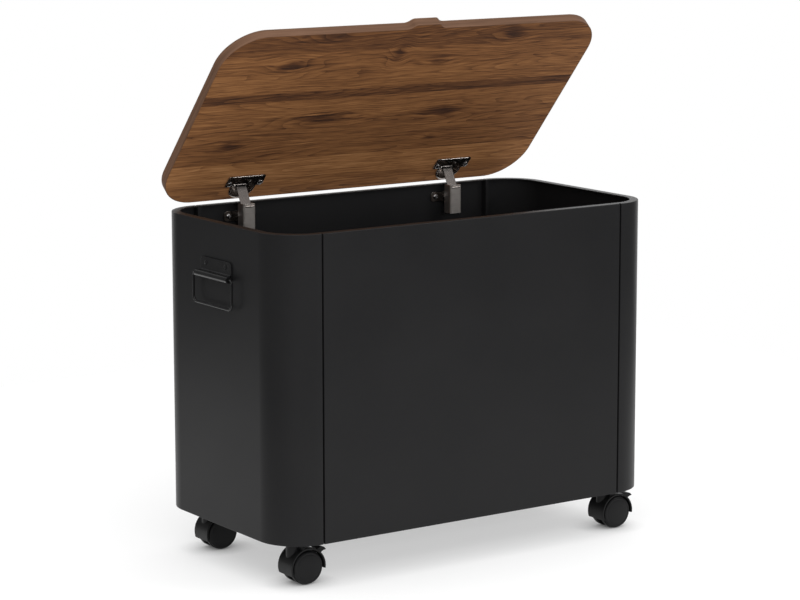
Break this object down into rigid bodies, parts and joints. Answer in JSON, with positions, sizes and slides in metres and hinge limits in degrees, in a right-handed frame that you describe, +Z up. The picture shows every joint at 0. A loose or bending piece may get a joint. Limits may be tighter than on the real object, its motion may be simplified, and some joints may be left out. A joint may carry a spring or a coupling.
{
  "type": "storage chest",
  "caption": "Wheeled storage chest for logs or pellets: rounded black sheet-steel box, hinged wooden lid on concealed cup hinges, drop handles on the ends and swivelling casters.",
  "frame": {"origin": "on the floor, under the middle of the object's box at rest with the lid open", "axes": "+Z up, +X to the right seen from the front, +Y to the back where the hinges are"},
  "size_m": [0.5816, 0.3104, 0.6687],
  "materials": {
    "black_coated_steel": "satin black powder coat",
    "walnut_board": "satin, staves in mixed tones",
    "walnut_edge_band": "satin",
    "nickel_plate": "nickel plated, glossy",
    "zinc_plate": "zinc plated",
    "gloss_black_metal": "gloss black",
    "black_plastic": "satin black"
  },
  "bodies": {
    "chest": {"left_end_panel": "black_coated_steel", "right_end_panel": "black_coated_steel", "front_panel": "black_coated_steel", "back_panel": "black_coated_steel", "floor_panel": "black_coated_steel", "left_hinge_arm": "nickel_plate", "left_hinge_plate": "nickel_plate", "left_plate_screw_a": "zinc_plate", "left_plate_screw_b": "zinc_plate", "left_handle_plate": "gloss_black_metal", "left_handle_rivet_a": "gloss_black_metal", "left_handle_rivet_b": "gloss_black_metal", "right_hinge_arm": "nickel_plate", "right_hinge_plate": "nickel_plate", "right_plate_screw_a": "zinc_plate", "right_plate_screw_b": "zinc_plate", "right_handle_plate": "gloss_black_metal", "right_handle_rivet_a": "gloss_black_metal", "right_handle_rivet_b": "gloss_black_metal", "front_left_caster_plate": "zinc_plate", "front_left_kingpin": "zinc_plate", "front_right_caster_plate": "zinc_plate", "front_right_kingpin": "zinc_plate", "back_left_caster_plate": "zinc_plate", "back_left_kingpin": "zinc_plate", "back_right_caster_plate": "zinc_plate", "back_right_kingpin": "zinc_plate"},
    "lid": {"lid_board": "walnut_board", "lid_edge_band": "walnut_edge_band", "left_hinge_cup": "nickel_plate", "left_hinge_pin": "nickel_plate", "left_cup_screw_a": "zinc_plate", "left_cup_screw_b": "zinc_plate", "right_hinge_cup": "nickel_plate", "right_hinge_pin": "nickel_plate", "right_cup_screw_a": "zinc_plate", "right_cup_screw_b": "zinc_plate"},
    "left_link": {"left_hinge_link": "nickel_plate"},
    "right_link": {"right_hinge_link": "nickel_plate"},
    "left_bail": {"left_handle_bail": "gloss_black_metal"},
    "right_bail": {"right_handle_bail": "gloss_black_metal"},
    "front_left_swivel": {"front_left_hood": "black_plastic", "front_left_axle": "zinc_plate"},
    "front_left_outer_wheel": {"front_left_wheel_outer": "black_plastic"},
    "front_left_inner_wheel": {"front_left_wheel_inner": "black_plastic"},
    "front_left_brake": {"front_left_brake_lever": "black_plastic"},
    "front_right_swivel": {"front_right_hood": "black_plastic", "front_right_axle": "zinc_plate"},
    "front_right_outer_wheel": {"front_right_wheel_outer": "black_plastic"},
    "front_right_inner_wheel": {"front_right_wheel_inner": "black_plastic"},
    "front_right_brake": {"front_right_brake_lever": "black_plastic"},
    "back_left_swivel": {"back_left_hood": "black_plastic", "back_left_axle": "zinc_plate"},
    "back_left_outer_wheel": {"back_left_wheel_outer": "black_plastic"},
    "back_left_inner_wheel": {"back_left_wheel_inner": "black_plastic"},
    "back_right_swivel": {"back_right_hood": "black_plastic", "back_right_axle": "zinc_plate"},
    "back_right_outer_wheel": {"back_right_wheel_outer": "black_plastic"},
    "back_right_inner_wheel": {"back_right_wheel_inner": "black_plastic"}
  },
  "joints": [
    {"name": "lid_hinge", "type": "hinge", "parent": "chest", "child": "lid", "pos_m": [0, 0.14332, 0.4282], "axis": [-1, 0, 0], "range_deg": [-48.5, 41.5]},
    {"name": "left_link_pivot", "type": "hinge", "parent": "lid", "child": "left_link", "pos_m": [-0.16, 0.13462, 0.45388], "axis": [-1, 0, 0], "range_deg": [-18, 21]},
    {"name": "right_link_pivot", "type": "hinge", "parent": "lid", "child": "right_link", "pos_m": [0.16, 0.13462, 0.45388], "axis": [-1, 0, 0], "range_deg": [-18, 21]},
    {"name": "left_bail_swing", "type": "hinge", "parent": "chest", "child": "left_bail", "pos_m": [-0.2866, -0.00718, 0.3677], "axis": [0, 1, 0], "range_deg": [0, 90]},
    {"name": "right_bail_swing", "type": "hinge", "parent": "chest", "child": "right_bail", "pos_m": [0.2866, -0.00718, 0.3677], "axis": [0, -1, 0], "range_deg": [0, 90]},
    {"name": "front_left_swivel_turn", "type": "hinge", "parent": "chest", "child": "front_left_swivel", "pos_m": [-0.238, -0.10718, 0.05], "axis": [0, 0, 1], "continuous": true},
    {"name": "front_left_outer_wheel_spin", "type": "hinge", "parent": "front_left_swivel", "child": "front_left_outer_wheel", "pos_m": [-0.2252, -0.10718, 0.0213], "axis": [0, 1, 0], "continuous": true},
    {"name": "front_left_inner_wheel_spin", "type": "hinge", "parent": "front_left_swivel", "child": "front_left_inner_wheel", "pos_m": [-0.2252, -0.10718, 0.0213], "axis": [0, 1, 0], "continuous": true},
    {"name": "front_left_brake_press", "type": "hinge", "parent": "front_left_swivel", "child": "front_left_brake", "pos_m": [-0.21412, -0.10718, 0.03877], "axis": [0, 1, 0], "range_deg": [0, 10]},
    {"name": "front_right_swivel_turn", "type": "hinge", "parent": "chest", "child": "front_right_swivel", "pos_m": [0.238, -0.10718, 0.05], "axis": [0, 0, 1], "continuous": true},
    {"name": "front_right_outer_wheel_spin", "type": "hinge", "parent": "front_right_swivel", "child": "front_right_outer_wheel", "pos_m": [0.2508, -0.10718, 0.0213], "axis": [0, 1, 0], "continuous": true},
    {"name": "front_right_inner_wheel_spin", "type": "hinge", "parent": "front_right_swivel", "child": "front_right_inner_wheel", "pos_m": [0.2508, -0.10718, 0.0213], "axis": [0, 1, 0], "continuous": true},
    {"name": "front_right_brake_press", "type": "hinge", "parent": "front_right_swivel", "child": "front_right_brake", "pos_m": [0.26188, -0.10718, 0.03877], "axis": [0, 1, 0], "range_deg": [0, 10]},
    {"name": "back_left_swivel_turn", "type": "hinge", "parent": "chest", "child": "back_left_swivel", "pos_m": [-0.238, 0.09282, 0.05], "axis": [0, 0, 1], "continuous": true},
    {"name": "back_left_outer_wheel_spin", "type": "hinge", "parent": "back_left_swivel", "child": "back_left_outer_wheel", "pos_m": [-0.2252, 0.09282, 0.0213], "axis": [0, 1, 0], "continuous": true},
    {"name": "back_left_inner_wheel_spin", "type": "hinge", "parent": "back_left_swivel", "child": "back_left_inner_wheel", "pos_m": [-0.2252, 0.09282, 0.0213], "axis": [0, 1, 0], "continuous": true},
    {"name": "back_right_swivel_turn", "type": "hinge", "parent": "chest", "child": "back_right_swivel", "pos_m": [0.238, 0.09282, 0.05], "axis": [0, 0, 1], "continuous": true},
    {"name": "back_right_outer_wheel_spin", "type": "hinge", "parent": "back_right_swivel", "child": "back_right_outer_wheel", "pos_m": [0.2508, 0.09282, 0.0213], "axis": [0, 1, 0], "continuous": true},
    {"name": "back_right_inner_wheel_spin", "type": "hinge", "parent": "back_right_swivel", "child": "back_right_inner_wheel", "pos_m": [0.2508, 0.09282, 0.0213], "axis": [0, 1, 0], "continuous": true}
  ],
  "couplings": [
    {"joint": "left_link_pivot", "follows": "lid_hinge", "ratio": -0.42},
    {"joint": "right_link_pivot", "follows": "lid_hinge", "ratio": -0.42}
  ]
}
